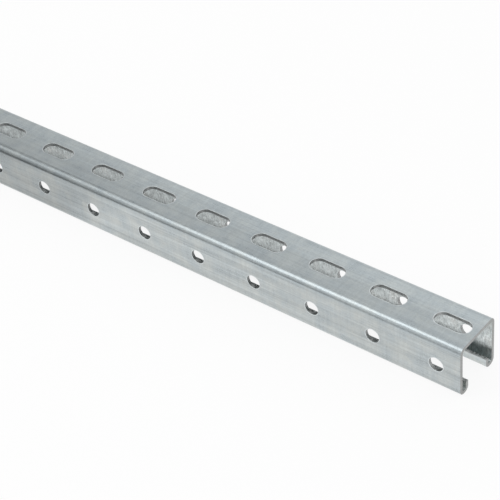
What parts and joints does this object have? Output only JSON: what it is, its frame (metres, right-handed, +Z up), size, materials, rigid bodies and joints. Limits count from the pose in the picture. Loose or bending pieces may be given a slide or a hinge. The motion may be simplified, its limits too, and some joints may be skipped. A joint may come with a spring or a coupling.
{
  "type": "strut channel",
  "caption": "Square galvanised strut channel with its open side down, inturned lips, a row of long slots in the web and round holes across both flanges.",
  "frame": {"origin": "middle of the channel's length and width, on the plane that the lips' rolled feet stand on", "axes": "+X along the channel towards the end that is nearest a slot, +Y across it, +Z up from the open side to the web"},
  "size_m": [0.6096, 0.0412, 0.0413],
  "materials": {
    "galvanised_steel": "pre-galvanised zinc skin, satin, with fine rolling streaks along the length and faint spangle"
  },
  "bodies": {
    "root": {"strut_channel": "galvanised_steel"}
  },
  "joints": []
}
